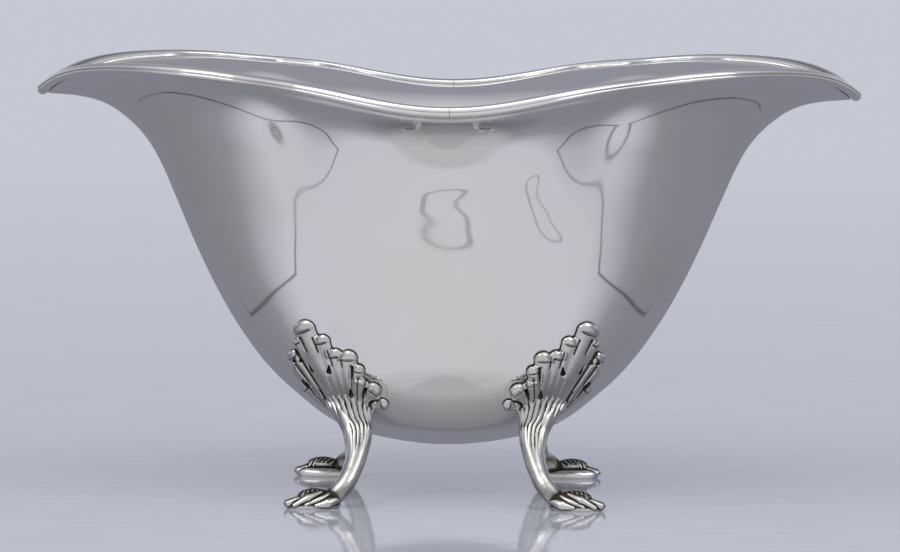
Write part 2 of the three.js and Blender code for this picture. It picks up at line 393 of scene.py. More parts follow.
def growth(x, y, z):
    """The swell at a place, and how much it grows in a short step across, back and up."""
    here = swell(x, y, z)
    across = swell(x + PROBE_STEP, y, z) - here
    back = swell(x, y + PROBE_STEP, z) - here
    upward = swell(x, y, z + PROBE_STEP) - here
    return here, across, back, upward


def around_bowl(x, y, z):
    """Close to the bowl, the distance off it, and the parts across and upward of the way off it."""
    here, across, back, upward = growth(x, y, z)
    slope = np.sqrt(across**2 + back**2 + upward**2)
    return here / slope * PROBE_STEP, across / slope, upward / slope


def on_bowl(x, z, out):
    """The point that stands this far off the bowl, at this place across and this height."""
    half_length = np.interp(z, HEIGHTS, HALF_LENGTHS)
    half_width = np.interp(z, HEIGHTS, HALF_WIDTHS)
    y = half_width * math.sqrt(max(1 - (x / half_length) ** 2, TINY))
    return np.array([x, y, z]) + unit(np.array(growth(x, y, z)[1:])) * out


def flowing(points, steps):
    """A smooth line through points, with the values that they carry."""
    points = np.asarray(points, float)
    padded = np.vstack([2 * points[0] - points[1], points, 2 * points[-1] - points[-2]])
    made = []
    for i in range(len(points) - 1):
        made += [between(*padded[i : i + 4], share) for share in np.arange(steps) / steps]
    return np.array([*made, points[-1]])


# Block of space that holds one leg
LEG_LOW = (10.5, 11.0, -0.5)
LEG_HIGH = (36.5, 35.0, 42.0)

# Places down the leg: middle, half size across and half size front to back
ROOT = ((21.2, 18.5, 22.4), 2.6, 0.7)
THROAT = ((19.9, 19.9, 19.1), 3.3, 1.4)
NECK = ((19.1, 20.9, 16.2), 3.1, 1.65)
CALF = ((18.9, 22.6, 13.3), 2.65, 1.8)
SHIN = ((19.2, 24.6, 10.4), 2.3, 1.95)
LOW_SHIN = ((20.05, 26.6, 7.8), 2.1, 1.9)
ANKLE = ((21.4, 28.5, 5.1), 2.0, 1.9)
INSTEP = ((24.2, 29.9, 2.0), 2.2, 1.5)
FOOT_MIDDLE = (28.4, 30.16)
FOOT_TURN = math.radians(6)

# Places of the reeds round the front of the leg: middle, size across and size forward
REED_RINGS = (
    (LOW_SHIN[0], (1.45, 0, 0), (0, 1.2, 0.85), 0.3),
    (SHIN[0], (1.8, 0, 0), (0, 1.35, 0.95), 0.36),
    (CALF[0], (2.45, 0, 0), (0, 1.3, 0.9), 0.4),
    (NECK[0], (2.85, 0, -0.35), (0, 1.34, 0.62), 0.47),
    (THROAT[0], (3.7, -1.25, -0.5), (0.5, 1.38, 0.1), 0.58),
)

# Petals of the leaf, from the lowest inner one over the tip to the lowest outer one: the angle
# at which each leaves the front of the neck, then places up the leaf: across, height, radius
# and how proud its crest stands
PETALS = (
    (-86, (15.6, 21.0, 0.7, 0.68), (13.7, 21.8, 1.5, 0.87)),
    (-70, (17.0, 22.8, 0.8, 0.87), (15.7, 25.0, 2.0, 1.05)),
    (-53, (18.3, 23.6, 0.75, 0.93), (18.4, 26.6, 1.1, 0.99)),
    (-36, (19.3, 24.6, 0.95, 0.87), (18.8, 29.4, 1.6, 0.87)),
    (-19, (20.6, 25.4, 1.3, 0.84), (20.9, 32.0, 2.1, 0.99)),
    (-2, (22.0, 25.4, 1.25, 0.81), (23.7, 32.5, 1.8, 0.84)),
    (15, (23.4, 25.2, 1.2, 0.81), (26.4, 35.5, 1.85, 0.84)),
    (32, (24.9, 25.0, 1.6, 0.87), (30.2, 37.9, 2.5, 0.93)),
    (49, (26.3, 24.9, 0.9, 0.71), (31.8, 35.2, 1.15, 0.81)),
    (65, (27.3, 24.2, 1.0, 0.68), (32.6, 31.8, 1.65, 0.81)),
    (80, (27.4, 22.9, 1.2, 0.65), (31.6, 28.5, 1.6, 0.78)),
    (95, (26.8, 21.4, 1.3, 0.62), (29.9, 24.5, 1.55, 0.74)),
)

# The petal whose end isn't turned over
PLAIN_PETAL = 10

# Grooves beside petals: which petal, where each starts and ends along it, half width and depth
GROOVES = (
    (0, 0.3, 1.0, 0.32, 0.65),
    (1, 0.1, 0.45, 0.14, 0.2),
    (1, 0.55, 1.0, 0.36, 0.65),
    (2, 0.2, 1.0, 0.15, 0.3),
    (3, 0.1, 0.75, 0.11, 0.1),
    (3, 0.75, 1.0, 0.32, 0.6),
    (4, 0.0, 0.4, 0.1, 0.08),
    (4, 0.85, 1.0, 0.18, 0.4),
    (5, 0.1, 0.5, 0.11, 0.06),
    (5, 0.8, 1.0, 0.18, 0.45),
    (6, 0.0, 0.6, 0.11, 0.07),
    (6, 0.85, 1.0, 0.22, 0.5),
    (7, 0.0, 0.6, 0.11, 0.06),
    (7, 0.85, 1.0, 0.26, 0.55),
    (8, 0.0, 0.4, 0.12, 0.2),
    (8, 0.4, 1.0, 0.28, 0.6),
    (9, 0.2, 0.7, 0.11, 0.14),
    (9, 0.7, 1.0, 0.28, 0.6),
    (10, 0.1, 0.55, 0.18, 0.45),
    (10, 0.65, 1.0, 0.3, 0.6),
)

# Dark eyes between the petals: place, direction of the point, length and radius
EYES = (
    ((24.9, 29.2), (-0.05, 1.0), 1.5, 0.5),
    ((20.2, 24.1), (0.05, 1.0), 1.4, 0.5),
    ((28.6, 29.0), (0.45, 1.0), 1.9, 0.34),
    ((30.9, 31.2), (0.3, 1.0), 1.1, 0.5),
    ((32.4, 31.0), (0.1, 1.0), 0.9, 0.45),
    ((25.9, 22.9), (0.8, 1.0), 1.8, 0.32),
    ((29.6, 25.6), (0.6, 1.0), 0.9, 0.36),
    ((17.4, 24.8), (-0.35, 1.0), 1.0, 0.3),
)

# Lobes on the outer side of the foot: places along, across and up, and radii
SIDE_LOBES = (
    ((-5.3, 0.9, 2.0), (-3.2, 2.1, 1.3), (-0.6, 2.45, 0.85), 0.8, 1.05, 0.4),
    ((-3.6, 1.0, 3.1), (-1.2, 1.9, 2.0), (1.5, 2.2, 1.0), 0.4, 0.62, 0.35),
    ((-1.8, 0.9, 3.5), (1.0, 1.5, 2.3), (4.0, 1.8, 0.85), 0.4, 0.95, 0.45),
)

# Toes: start and end along, across and up, and radii
TOES = (
    ((2.9, 0.9, 2.1), (5.2, 1.0, 1.2), 0.5, 0.7),
    ((3.2, -0.1, 2.2), (5.5, -0.05, 1.2), 0.5, 0.75),
    ((3.0, -1.2, 1.9), (5.0, -1.05, 1.1), 0.5, 0.7),
)

# Pad of the foot, and the veined dome on it: ribs on both sides of a ridge
PAD_MIDDLE = (-0.2, -0.3, 0.7)
PAD_RADII = (6.0, 2.85, 1.75)
DOME_MIDDLE = (-0.5, -0.35, 2.45)
DOME_RADII = (3.7, 1.75, 1.7)
DOME_RIBS = (-2.7, -1.75, -0.8, 0.15, 1.1, 2.0)
RIB_BEND = ((0, 0.3), (0.35, 0.9), (1.0, 1.45))
RIB_RADII = (0.24, 0.28, 0.2)
RIB_SINK = 0.12
RIDGE_ENDS = (-3.4, 3.4)
RIDGE_STEPS = 9
RIDGE_SINK = 0.05

# How softly the forms of a casting melt together, in millimetres
STEM_BLEND = 0.5
REED_BLEND = 0.16
LEAF_BLEND = 0.75
PETAL_BLEND = 0.1
PAD_BLEND = 0.3
DOME_BLEND = 0.1
TOE_BLEND = 0.08
FINE_BLEND = 0.05
SOLDER = 0.02

# Smooth lines: steps from knot to knot
STEM_STEPS = 5
LOBE_STEPS = 5
REED_LINE_STEPS = 6
PETAL_STEPS = 8

# Reeds: how far up its petal each one ends, and how deep and thin it is there
REED_REACH = 0.75
REED_SINK = 0.75
REED_TIP = 0.4

# Leaf: a front-view map of its height off the bowl
LEAF_LOW = (12.0, 16.5)
LEAF_HIGH = (37.0, 42.0)
LEAF_BAND = 2.5
RELIEF_STEP = 0.06
LAST_CELL = 1.001
PLATE_HEIGHT = 0.55
PETAL_DROP = 0.22
EDGE_ROLL = 0.8
EDGE_DROP = 0.6
EDGE_LIMIT = 1.5

# Turned-over end of a petal: its start and rise, and the crease below it
END_SETBACK = 0.08
END_REACH = 1.0
LIP_START = -0.1
LIP_WIDTH = 0.3
LIP_RISE = 0.36
CREASE_PLACE = -0.16
CREASE_BOW = 0.5
CREASE_WIDTH = 0.14
CREASE_DEPTH = 0.13
CREASE_FADE = (0.5, 0.95)
CREASE_DARKNESS = 0.4

# Grooves grow from a share of their depth, and grooves and eyes hold dark patina
GROOVE_START = 0.25
GROOVE_DARKNESS = 2.2
MOST_DARKNESS = 1.2
EYE_TAPER = 0.85
EYE_EDGE = (-0.12, 0.1)
EYE_FLOOR = 0.15

# Edge of the plate that carries the petals, across and up
PLATE_EDGE = (
    (16.0, 18.6),
    (14.2, 21.4),
    (15.2, 24.6),
    (17.6, 28.6),
    (19.4, 31.6),
    (22.6, 32.2),
    (25.6, 34.6),
    (29.6, 37.6),
    (31.2, 34.8),
    (31.9, 31.6),
    (31.0, 28.6),
    (29.4, 25.0),
    (24.4, 18.6),
)

# Patina on the legs. Hollows: rounds of smoothing that find them, and the depth that is fully dark
SMOOTHING = 0.6
FINE_ROUNDS = 6
FINE_DEPTH = 0.035
BROAD_ROUNDS = 40
BROAD_DEPTH = 0.15
RAISED = (-0.02, 0.1)
# Painted shadow, with some patina, along the joint with the bowl: distances off the bowl where it fades
JOINT_SHADOW_FADE = (0.15, 0.45)

# Heights between which each part of the leg begins or ends, and how dark or clean it is
LEAF_START = (19, 22)
# The painted shadow at the joint starts between these heights
JOINT_SHADOW_START = (15, 19)
SHIN_START = (5, 8)
SHIN_END = (16, 20)
ANKLE_START = (2.0, 3.5)
ANKLE_END = (4.5, 7.5)
FOOT_END = (3.8, 5.5)
LEAF_CLEAN = 0.35
SHIN_DULL = 0.25
ANKLE_DULL = 0.3
FOOT_DEEP = 1.5
FOOT_DULL = 0.75
FOOT_SHINE = 0.65


def on_ring(middle, across, forward, angle):
    """A place on an oval round the leg, at an angle from its front."""
    return np.array(middle) + np.array(across) * math.sin(angle) + np.array(forward) * math.cos(angle)


def reed_line(petal):
    """The middle of a reed from the shin up to where it sinks into its petal, with its radius."""
    angle = math.radians(petal[0])
    knots = []
    for middle, across, forward, radius in REED_RINGS:
        knots.append((*on_ring(middle, across, forward, angle), radius))
    x, z, _, crest = petal[1]
    last = knots[-1]
    end = REED_REACH * np.array((x, z)) + (1 - REED_REACH) * np.array((last[0], last[2]))
    knots.append((*on_bowl(*end, crest - REED_SINK), REED_TIP))
    return flowing(knots, REED_LINE_STEPS)


def petal_line(petal):
    """The middle of a petal seen from the front: place across and up, half width and crest."""
    angle = math.radians(petal[0])
    middle, across, forward, radius = REED_RINGS[-1]
    start = on_ring(middle, across, forward, angle)
    return flowing([(start[0], start[2], radius, petal[1][3]), *petal[1:]], PETAL_STEPS)


def beside_stretch(x, z, start, end):
    """Distance from a straight stretch seen from the front, and the place along it from 0 to 1."""
    (ax, az), (bx, bz) = start, end
    wx, wz = bx - ax, bz - az
    share = np.clip(((x - ax) * wx + (z - az) * wz) / max(wx * wx + wz * wz, TINY), 0, 1)
    return np.hypot(x - ax - share * wx, z - az - share * wz), share


def beside_line(x, z, line):
    """The same for a line of such stretches."""
    apart = np.full(x.shape, np.inf)
    place = np.zeros(x.shape)
    for i, (start, end) in enumerate(zip(line[:-1], line[1:])):
        gap, share = beside_stretch(x, z, start, end)
        place = np.where(gap < apart, (i + share) / (len(line) - 1), place)
        apart = np.minimum(apart, gap)
    return apart, place


def outside_plate(x, z):
    """Distance outside the edge of the leaf's plate, seen from the front, and below 0 inside."""
    edge = np.array(PLATE_EDGE)
    apart = np.full(x.shape, np.inf)
    sign = np.ones_like(apart)
    for start, end in zip(edge, np.roll(edge, -1, 0)):
        gap, _ = beside_stretch(x, z, start, end)
        apart = np.minimum(apart, gap)
        (ax, az), (bx, bz) = start, end
        crosses = ((az <= z) & (bz > z)) | ((bz <= z) & (az > z))
        left = (x - ax) * (bz - az) < (z - az) * (bx - ax)
        sign = np.where(crosses & (left == (bz > az)), -sign, sign)
    return apart * sign


def petal_domes(x, z, lines):
    """Height off the bowl of the plate and its rounded petals, and the distance outside them."""
    height = np.full(x.shape, PLATE_HEIGHT)
    edge = outside_plate(x, z)
    for line in lines:
        apart, place = beside_line(x, z, line[:, :2])
        steps = np.linspace(0, 1, len(line))
        size = np.interp(place, steps, line[:, 2])
        dome = np.interp(place, steps, line[:, 3]) - PETAL_DROP * (apart / size) ** 2
        near = np.maximum(PETAL_BLEND - np.abs(height - dome), 0) / PETAL_BLEND
        height = np.maximum(height, dome) + near * near * (PETAL_BLEND / 4)
        edge = np.minimum(edge, apart - size)
    return height, edge


def turned_end(x, z, line, height):
    """The height with a petal's end turned over, and the crease below it from 0 to 1."""
    end, (size, crest) = line[-1, :2], line[-1, 2:]
    ahead = unit(end - line[-3, :2])
    along = (x - end[0]) * ahead[0] + (z - end[1]) * ahead[1] - END_SETBACK * size
    across = np.abs((z - end[1]) * ahead[0] - (x - end[0]) * ahead[1]) / size
    reach = (along < size) & (along > -END_REACH)
    over = reach & (along > LIP_START) & (across < 1)
    hood = crest + LIP_RISE * (1 - across**2) * smoothstep(along, LIP_START, LIP_WIDTH * size)
    height = np.where(over, np.maximum(height, hood), height)
    bowed = along - CREASE_PLACE - CREASE_BOW * across**2
    crease = np.exp(-((bowed / CREASE_WIDTH) ** 2)) * (1 - smoothstep(across, *CREASE_FADE)) * reach
    return height - CREASE_DEPTH * crease, crease


def groove_along(x, z, line, width):
    """A groove that grows along its line, from 0 to 1."""
    apart, place = beside_line(x, z, line)
    return np.exp(-((apart / width) ** 2)) * (GROOVE_START + (1 - GROOVE_START) * place)


def eye_at(x, z, start, way, length, radius):
    """A drop-shaped hollow that ends in a point, from 0 to 1."""
    point = (start[0] + way[0] * length, start[1] + way[1] * length)
    apart, place = beside_line(x, z, [start, point])
    return 1 - smoothstep(apart - radius * (1 - EYE_TAPER * place), *EYE_EDGE)


def leaf_relief():
    """Maps of the leaf: height off the bowl, distance outside its edge, and dark patina."""
    sides = [np.arange(low, high, RELIEF_STEP) for low, high in zip(LEAF_LOW, LEAF_HIGH)]
    x, z = np.meshgrid(*sides, indexing="ij")
    lines = [petal_line(petal) for petal in PETALS]
    height, edge = petal_domes(x, z, lines)
    patina = np.zeros(x.shape)
    for line in lines[:PLAIN_PETAL] + lines[PLAIN_PETAL + 1 :]:
        height, crease = turned_end(x, z, line, height)
        patina = np.maximum(patina, CREASE_DARKNESS * crease)
    for petal, start, end, width, depth in GROOVES:
        middle = (lines[petal] + lines[petal + 1])[:, :2] / 2
        first, last = round(start * (len(middle) - 1)), round(end * (len(middle) - 1))
        groove = groove_along(x, z, middle[first : last + 1], width)
        height = height - depth * groove
        patina = np.maximum(patina, min(GROOVE_DARKNESS * depth, MOST_DARKNESS) * groove)
    for place, way, length, radius in EYES:
        eye = eye_at(x, z, place, way, length, radius)
        height = height * (1 - eye) + EYE_FLOOR * eye
        patina = np.maximum(patina, MOST_DARKNESS * eye)
    rolled = EDGE_DROP * np.clip(1 + edge / EDGE_ROLL, 0, EDGE_LIMIT) ** 2
    return height - rolled, edge, patina


def read_relief(relief, x, z):
    """Values of a front-view map between its own points."""
    across = np.clip((x - LEAF_LOW[0]) / RELIEF_STEP, 0, relief.shape[0] - LAST_CELL)
    upward = np.clip((z - LEAF_LOW[1]) / RELIEF_STEP, 0, relief.shape[1] - LAST_CELL)
    i, j = across.astype(int), upward.astype(int)
    u, v = across - i, upward - j
    low = relief[i, j] * (1 - u) + relief[i + 1, j] * u
    high = relief[i, j + 1] * (1 - u) + relief[i + 1, j + 1] * u
    return low * (1 - v) + high * v


def at_foot(along, across, up):
    """A place in the foot's own directions."""
    x = FOOT_MIDDLE[0] + along * math.cos(FOOT_TURN) - across * math.sin(FOOT_TURN)
    y = FOOT_MIDDLE[1] + along * math.sin(FOOT_TURN) + across * math.cos(FOOT_TURN)
    return np.array([x, y, up])


def on_dome(along, across, sink):
    """The place this far below the dome's top, at a place of its own."""
    share = 1 - (along / DOME_RADII[0]) ** 2 - (across / DOME_RADII[1]) ** 2
    up = DOME_RADII[2] * math.sqrt(max(share, 0.0)) - sink
    return at_foot(DOME_MIDDLE[0] + along, DOME_MIDDLE[1] + across, DOME_MIDDLE[2] + up)


def add_stem(leg):
    """Two bars side by side, which make the stem wider than deep."""
    for side in (-1, 1):
        line = []
        for middle, wide, deep in (ROOT, THROAT, NECK, CALF, SHIN, LOW_SHIN, ANKLE, INSTEP):
            line.append((*(np.array(middle) + (side * (wide - deep), 0, 0)), deep))
        line = flowing(line, STEM_STEPS)
        leg.run(line[:, :3], line[:, 3], STEM_BLEND)


def add_leaf(leg, whole, x, z, around):
    """The leaf, bent over the bowl."""
    away, across, upward = around
    near = (np.abs(away) < LEAF_BAND) & (z > LEAF_LOW[1])
    foot_x = (x - away * across)[near]
    foot_z = (z - away * upward)[near]
    height, edge, _ = (read_relief(relief, foot_x, foot_z) for relief in leaf_relief())
    leaf = np.full(away.shape, leg.FAR, np.float32)
    leaf[near] = np.maximum(away[near] - height, edge)
    leg.join(whole, leaf, LEAF_BLEND)


def add_foot(leg):
    """Pad with a veined dome, leafy lobes on its outer side, and knuckled toes."""
    leg.ball(at_foot(*PAD_MIDDLE), PAD_RADII, PAD_BLEND, FOOT_TURN)
    leg.ball(at_foot(*DOME_MIDDLE), DOME_RADII, DOME_BLEND, FOOT_TURN)
    for along in DOME_RIBS:
        for side in (-1, 1):
            rib = [on_dome(along + bend, side * across, RIB_SINK) for bend, across in RIB_BEND]
            leg.run(rib, RIB_RADII, FINE_BLEND)
    ridge = [on_dome(along, 0, RIDGE_SINK) for along in np.linspace(*RIDGE_ENDS, RIDGE_STEPS)]
    leg.run(ridge, np.full(RIDGE_STEPS, RIB_RADII[0]), FINE_BLEND)
    for *places, start, middle, end in SIDE_LOBES:
        line = flowing([at_foot(*place) for place in places], LOBE_STEPS)
        sizes = np.interp(np.linspace(0, 2, len(line)), (0, 1, 2), (start, middle, end))
        leg.run(line, sizes, FINE_BLEND)
    for *places, start, end in TOES:
        leg.run([at_foot(*place) for place in places], [start, end], TOE_BLEND)


def cast_leg():
    """The skin of one leg, cut off where it sits on the bowl and on the table."""
    leg = Casting(LEG_LOW, LEG_HIGH)
    whole, (x, y, z) = leg.window(leg.low, leg.low + leg.count * VOXEL)
    around = [values.astype(np.float32) for values in around_bowl(x, y, z)]
    add_stem(leg)
    for petal in PETALS:
        line = reed_line(petal)
        leg.run(line[:, :3], line[:, 3], REED_BLEND)
    add_leaf(leg, whole, x, z, around)
    add_foot(leg)
    leg.depth = np.maximum(leg.depth, SOLDER - around[0])
    leg.depth = np.maximum(leg.depth, -z)
    return leg.surface()


def slimmed(points, quads):
    """The leg's surface with fewer faces."""
    mesh = bpy.data.meshes.new("leg")
    mesh.from_pydata((points * MM).tolist(), [], quads.tolist())
    piece = placed("leg", mesh)
    thin = piece.modifiers.new("slim", "DECIMATE")
    thin.ratio = LEG_FACES_KEPT
    thin.use_collapse_triangulate = True
    made = bpy.data.meshes.new_from_object(piece.evaluated_get(bpy.context.evaluated_depsgraph_get()))
    places = np.zeros(len(made.vertices) * 3)
    made.vertices.foreach_get("co", places)
    faces = np.zeros(len(made.polygons) * 3, int)
    made.polygons.foreach_get("vertices", faces)
    bpy.data.objects.remove(piece)
    bpy.data.meshes.remove(mesh)
    bpy.data.meshes.remove(made)
    return places.reshape(-1, 3) / MM, faces.reshape(-1, 3)


def vertex_normals(points, faces):
    """The way out of the surface at each point."""
    first, second, third = points[faces.T]
    square = np.cross(second - first, third - first)
    total = np.full_like(points, TINY**2)
    for corner in range(3):
        for axis in range(3):
            total[:, axis] += np.bincount(faces[:, corner], square[:, axis], len(points))
    return unit(total)


def sunk(points, faces, rounds):
    """How far each point lies below the smoothed surface around it, in millimetres."""
    edges = np.concatenate([faces[:, [0, 1]], faces[:, [1, 2]], faces[:, [2, 0]]])
    edges = np.concatenate([edges, edges[:, ::-1]])
    degree = np.bincount(edges[:, 0], minlength=len(points))
    smooth = points.copy()
    for _ in range(rounds):
        for axis in range(3):
            mean = np.bincount(edges[:, 0], smooth[edges[:, 1], axis], len(points)) / degree
            smooth[:, axis] += SMOOTHING * (mean - smooth[:, axis])
    return np.sum((smooth - points) * vertex_normals(points, faces), 1)


def leg_darkness(points, faces):
    """How dark: patina deep in what is cast and on the low parts, painted shadow and patina round the
    joint.
    """
    fine = np.clip(sunk(points, faces, FINE_ROUNDS) / FINE_DEPTH, 0, 1)
    below = sunk(points, faces, BROAD_ROUNDS)
    broad = np.clip(below / BROAD_DEPTH, 0, 1)
    raised = smoothstep(-below, *RAISED)
    x, y, z = points.T
    off, across, upward = around_bowl(x, y, z)
    patina = read_relief(leaf_relief()[2], x - off * across, z - off * upward)
    leaf = smoothstep(z, *LEAF_START)
    foot = 1 - smoothstep(z, *FOOT_END)
    # Painted shadow, with some patina, along the joint where the leg meets the bowl
    joint_shadow_and_patina = (1 - smoothstep(off, *JOINT_SHADOW_FADE)) * smoothstep(z, *JOINT_SHADOW_START)
    ankle = smoothstep(z, *ANKLE_START) * (1 - smoothstep(z, *ANKLE_END))
    shin = smoothstep(z, *SHIN_START) * (1 - smoothstep(z, *SHIN_END))
    hollows = np.maximum(fine, broad) * (1 - LEAF_CLEAN * leaf + FOOT_DEEP * foot)
    dull = ANKLE_DULL * ankle + SHIN_DULL * shin + foot * (FOOT_DULL - FOOT_SHINE * raised)
    return np.clip(hollows + joint_shadow_and_patina + patina * leaf + dull, 0, 1)


def leg_pieces():
    """The four legs, mirror images of one casting."""
    points, faces = slimmed(*cast_leg())
    dark = leg_darkness(points, faces)
    made = {}
    for end, y in (("front", -1), ("back", 1)):
        for side, x in (("left", -1), ("right", 1)):
            mirrored = points * (x, y, 1)
            order = (faces if x * y > 0 else faces[:, ::-1]).tolist()
            node = f"leg_{end}_{side}"
            made[node] = mesh_piece(f"cast_{node}", mirrored, order, dark, LEG_CREASE)
    return made


# Finishes

# Polished silver: scale and detail of its faint clouds, then fine scratches in three directions:
# turn, length and width of the lines, and how few there are. Pairs say where in a noise a mark
# starts and is full, and DULL is how much it takes off the polish.
BLOOM = (38.0, 4.0)
HAZE = (110.0, 3.0)
SCRATCHES = (
    ((0.3, 0.2, 0.5), 0.03, 0.0004, 0.7),
    ((1.1, 0.5, 1.9), 0.02, 0.0003, 0.72),
    ((0.2, 1.3, 0.9), 0.04, 0.0005, 0.73),
)
SCRATCH_DETAIL = 2.0
SCRATCH_SOFTNESS = 0.05
BLOOM_TINTED = (0.45, 0.75)
BLOOM_DULLED = (0.35, 0.7)
HAZE_DULLED = (0.5, 0.8)
BLOOM_DULL = 0.03
HAZE_DULL = 0.02
SCRATCH_DULL = 0.12
SCRATCH_DEPTH = 0.4
HAZE_DEPTH = 0.12
POLISHED_BUMP = 0.05
SHEET_TINT = (0.9, 0.895, 0.885)
SHEET_ROUGHNESS = 0.04
WIRE_TINT = (0.91, 0.9, 0.88)
WIRE_ROUGHNESS = 0.06
BLOOM_WARMTH = (0.985, 0.965, 0.92)
GROOVE_SILVER = (0.4, 0.37, 0.31, 1.0)
GROOVE_HAZE = (0.55, 0.9)
GROOVE_RANGE = (0.15, 1.0)
GROOVE_DULL = 0.2
POLISHED_METALLIC = 0.92

# Cast silver: grain and blotches, clean and dulled metal, black and brown tarnish that also paints the
# shadow at the legs' joint, and how much the recesses, the grain and the blotches darken it
GRAIN = (900.0, 4.0)
GRAIN_ROUGHNESS = 0.65
BLOTCH = (210.0, 3.0)
CAST_BRIGHT = (0.8, 0.79, 0.77, 1.0)
CAST_DULL = (0.66, 0.64, 0.6, 1.0)
# Dark colours of tarnish, which also paint the shadow where the legs meet the bowl
TARNISH_AND_SHADOW_BLACK = (0.018, 0.017, 0.015, 1.0)
TARNISH_AND_SHADOW_BROWN = (0.09, 0.075, 0.05, 1.0)
CAST_ROUGHNESS = 0.13
RECESS_DARK = 1.25
GRAIN_DARK = 0.5
BLOTCH_DARK = 0.25
DARK_RANGE = (0.2, 0.85)
BLOTCH_RANGE = (0.3, 0.75)
BLOTCH_DULLED = (0.4, 0.8)
GRAIN_RANGE = (0.35, 0.65)
BLOTCH_DULL = 0.08
TARNISH_DULL = 0.32
GRAIN_DEPTH = 0.25
BLOTCH_DEPTH = 0.5
CAST_BUMP = 0.25

# Distance over which the fine unevenness of the metals is measured, in metres
BUMP_DISTANCE = 0.0001


class Value:
    """A socket that takes part in sums."""

    def __init__(self, nodes, socket):
        self.nodes = nodes
        self.socket = socket

    def sum(self, operation, *terms):
        return self.nodes.add("ShaderNodeMath", {"operation": operation}, dict(enumerate(terms)))

    def __add__(self, other):
        return self.sum("ADD", self, other)

    def __sub__(self, other):
        return self.sum("SUBTRACT", self, other)

    def __rsub__(self, other):
        return self.sum("SUBTRACT", other, self)

    def __mul__(self, other):
        return self.sum("MULTIPLY", self, other)

    def __pow__(self, other):
        return self.sum("POWER", self, other)

    def __rpow__(self, other):
        return self.sum("POWER", other, self)

    __radd__ = __add__
    __rmul__ = __mul__

    def clipped(self, low, high):
        """From 0 at low to 1 at high."""
        return self.nodes.add(
            "ShaderNodeMapRange", {"clamp": True}, {"Value": self, "From Min": low, "From Max": high}
        )

    def at_least(self, other):
        return self.sum("MAXIMUM", self, other)

    def at_most(self, other):
        return self.sum("MINIMUM", self, other)

    def size(self):
        return self.sum("ABSOLUTE", self)


class Nodes:
    """The nodes of one material or of the world."""

    def __init__(self, tree):
        self.tree = tree

    def add(self, kind, settings=None, sockets=None, output=0):
        node = self.tree.nodes.new(kind)
        for name, setting in (settings or {}).items():
            if name == "stops":
                self.set_stops(node.color_ramp, setting)
            else:
                setattr(node, name, setting)
        for name, value in (sockets or {}).items():
            self.feed(node.inputs[name], value)
        return Value(self, node.outputs[output])

    def feed(self, socket, value):
        if isinstance(value, Value):
            self.tree.links.new(value.socket, socket)
        else:
            socket.default_value = value

    def set_stops(self, ramp, stops):
        while len(ramp.elements) < len(stops):
            ramp.elements.new(0.5)
        for element, (place, tone) in zip(ramp.elements, stops):
            element.position = place
            element.color = tone

    def part(self, vector, axis):
        """One coordinate of a vector."""
        return self.add("ShaderNodeSeparateXYZ", None, {0: vector}, axis)

    def mix(self, share, low, high):
        """A colour between two colours."""
        sockets = {0: share, 6: low, 7: high}
        return self.add("ShaderNodeMix", {"data_type": "RGBA"}, sockets, 2)

    def noise(self, place, scale, detail, roughness=0.55):
        sockets = {"Vector": place, "Scale": scale, "Detail": detail, "Roughness": roughness}
        return self.add("ShaderNodeTexNoise", None, sockets)

    def stretched(self, place, turn, scale):
        """Coordinates turned and then stretched."""
        return self.add("ShaderNodeMapping", None, {"Vector": place, "Rotation": turn, "Scale": scale})


def colour(red, green, blue):
    return (red, green, blue, 1.0)


class Finish:
    """A finish that is built up on the material's own shader."""

    def __init__(self, name):
        self.material = bpy.data.materials.new(name)
        self.material.use_nodes = True
        self.nodes = Nodes(self.material.node_tree)
        self.shader = self.material.node_tree.nodes["Principled BSDF"]
        self.place = self.nodes.add("ShaderNodeTexCoord", output=3)

    def set(self, **values):
        for name, value in values.items():
            self.nodes.feed(self.shader.inputs[name.replace("_", " ")], value)

    def scratches(self, turn, length, width, amount):
        """Fine lines in one direction, from 0 to 1."""
        stretched = self.nodes.stretched(self.place, turn, (1 / length, 1 / width, 1 / width))
        lines = self.nodes.noise(stretched, 1.0, SCRATCH_DETAIL)
        return lines.clipped(amount, amount + SCRATCH_SOFTNESS)

    def recess(self):
        """How deep in a recess each place is, from 0 to 1, with painted shadow at the legs' joint."""
        return self.nodes.add("ShaderNodeAttribute", {"attribute_name": "Recess"}, output=2)

    def bump(self, strength, distance, height):
        sockets = {"Strength": strength, "Distance": distance, "Height": height}
        return self.nodes.add("ShaderNodeBump", None, sockets)


def polished_silver(name, tint, roughness, grooved=False):
    """Hand-polished silver, darker in its grooves if it has any."""
    finish = Finish(name)
    nodes = finish.nodes
    bloom = nodes.noise(finish.place, *BLOOM)
    haze = nodes.noise(finish.place, *HAZE)
    lines = finish.scratches(*SCRATCHES[0])
    for family in SCRATCHES[1:]:
        lines = lines.at_least(finish.scratches(*family))
    warm = colour(*(np.array(tint) * BLOOM_WARMTH))
    silver = nodes.mix(bloom.clipped(*BLOOM_TINTED), colour(*tint), warm)
    rough = roughness + bloom.clipped(*BLOOM_DULLED) * BLOOM_DULL + haze.clipped(*HAZE_DULLED) * HAZE_DULL
    rough = rough + lines * SCRATCH_DULL
    if grooved:
        least, more = GROOVE_HAZE
        dark = (finish.recess() * (least + haze * more)).clipped(*GROOVE_RANGE)
        silver = nodes.mix(dark, silver, GROOVE_SILVER)
        rough = rough + dark * GROOVE_DULL
    bump = finish.bump(POLISHED_BUMP, BUMP_DISTANCE, lines * -SCRATCH_DEPTH + haze * HAZE_DEPTH)
    finish.set(Base_Color=silver, Metallic=POLISHED_METALLIC, Roughness=rough, Normal=bump)
    return finish.material


